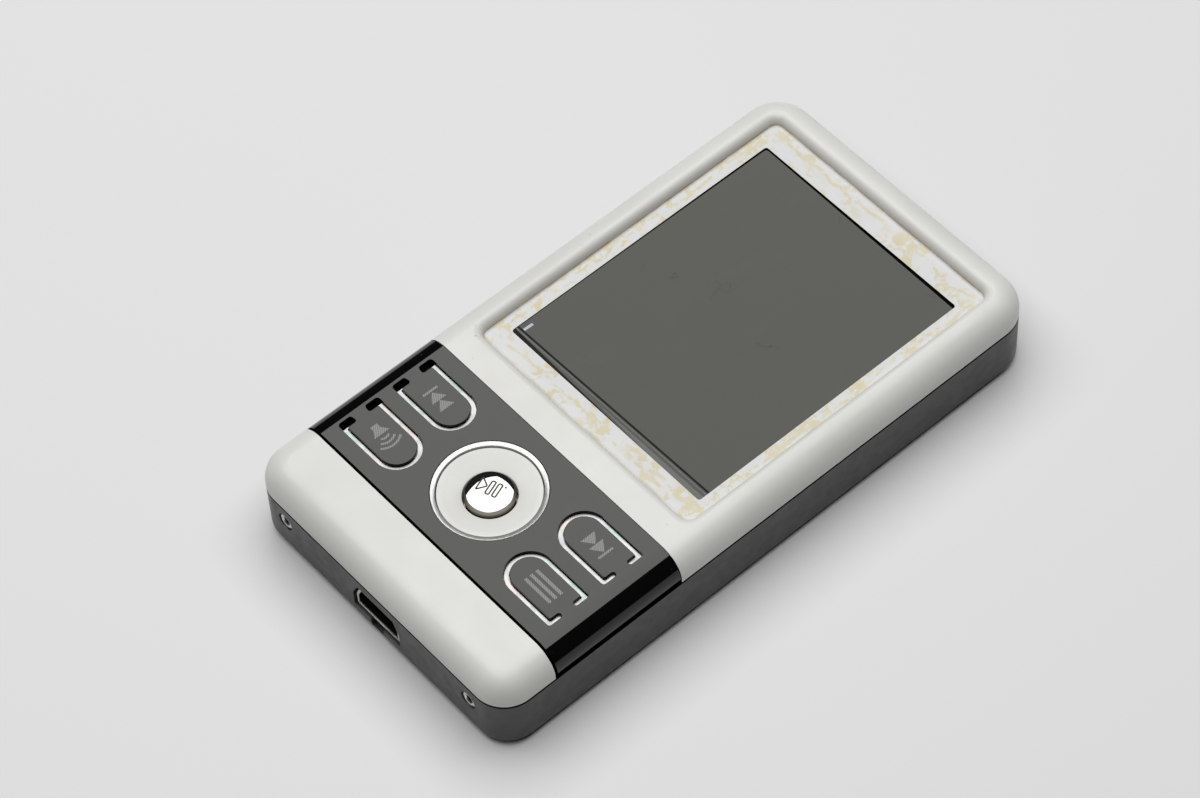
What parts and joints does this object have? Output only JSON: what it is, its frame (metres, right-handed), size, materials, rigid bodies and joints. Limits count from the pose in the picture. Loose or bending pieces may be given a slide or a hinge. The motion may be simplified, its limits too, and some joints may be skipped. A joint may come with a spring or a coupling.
{
  "type": "digital audio player",
  "caption": "Pocket audio player with a white front shell, black band of touch keys around a chrome wheel, an open display window and a socket in one end.",
  "frame": {"origin": "on the floor plane under the middle of the back cover", "axes": "+Z out of the front face, +Y along the length away from the socket end, +X to the right when the keys are nearest the reader"},
  "size_m": [0.045, 0.084, 0.0117],
  "materials": {
    "white_shell": "slightly warm white, satin gloss",
    "dark_cover": "dark grey satin",
    "black_gloss": "piano black",
    "chrome_trim": "bright plated plastic",
    "screw_steel": "plain steel",
    "plated_steel": "tin plated",
    "black_nylon": "moulded connector nylon",
    "gold_contact": "gold plated",
    "display_glass": "dark grey display, switched off",
    "white_film": "white film or nylon",
    "foam_gasket": "black foam",
    "flex_film": "amber film",
    "green_board": "solder mask green",
    "chip_epoxy": "black epoxy",
    "battery_foil": "laminated foil",
    "red_wire": "wire insulation",
    "black_wire": "wire insulation"
  },
  "bodies": {
    "player_body": {"battery_cell": "battery_foil", "battery_connector": "white_film", "battery_lead_black": "black_wire", "battery_lead_red": "red_wire", "battery_tape": "white_film", "board_screw_1": "screw_steel", "board_screw_2": "screw_steel", "board_screw_3": "screw_steel", "board_screw_4": "screw_steel", "button_trim_plate": "chrome_trim", "clock_crystal": "plated_steel", "control_panel": "black_gloss", "end_screw_left": "screw_steel", "end_screw_right": "screw_steel", "flash_memory": "chip_epoxy", "front_cover": "white_shell", "headphone_jack": "black_nylon", "lcd_backlight": "white_film", "lcd_connector": "white_film", "lcd_flex": "flex_film", "lcd_frame": "plated_steel", "lcd_gasket": "foam_gasket", "lcd_panel": "display_glass", "main_board": "green_board", "media_processor": "chip_epoxy", "menu_switch": "plated_steel", "next_switch": "plated_steel", "play_switch": "plated_steel", "power_inductor": "chip_epoxy", "previous_switch": "plated_steel", "rear_cover": "dark_cover", "usb_contacts": "gold_contact", "usb_shell": "plated_steel", "usb_tongue": "black_nylon", "volume_switch": "plated_steel", "wheel_disc": "white_shell", "wheel_ring": "chrome_trim"},
    "volume_key": {"volume_button": "black_gloss", "volume_plunger": "black_nylon"},
    "previous_key": {"previous_button": "black_gloss", "previous_plunger": "black_nylon"},
    "menu_key": {"menu_button": "black_gloss", "menu_plunger": "black_nylon"},
    "next_key": {"next_button": "black_gloss", "next_plunger": "black_nylon"},
    "play_key": {"play_button": "chrome_trim", "play_plunger": "black_nylon"}
  },
  "joints": [
    {"name": "volume_press", "type": "hinge", "parent": "player_body", "child": "volume_key", "pos_m": [-0.01835, -0.02828, 0.0114], "axis": [0, 1, 0], "range_deg": [0, 1.8], "stiffness_Nm_per_rad": 0.25},
    {"name": "previous_press", "type": "hinge", "parent": "player_body", "child": "previous_key", "pos_m": [-0.01835, -0.02012, 0.0114], "axis": [0, 1, 0], "range_deg": [0, 1.8], "stiffness_Nm_per_rad": 0.25},
    {"name": "menu_press", "type": "hinge", "parent": "player_body", "child": "menu_key", "pos_m": [0.01835, -0.02828, 0.0114], "axis": [0, -1, 0], "range_deg": [0, 1.8], "stiffness_Nm_per_rad": 0.25},
    {"name": "next_press", "type": "hinge", "parent": "player_body", "child": "next_key", "pos_m": [0.01835, -0.02012, 0.0114], "axis": [0, -1, 0], "range_deg": [0, 1.8], "stiffness_Nm_per_rad": 0.25},
    {"name": "play_press", "type": "slide", "parent": "player_body", "child": "play_key", "axis": [0, 0, -1], "range_m": [0, 0.0003], "stiffness_N_per_m": 5000}
  ]
}
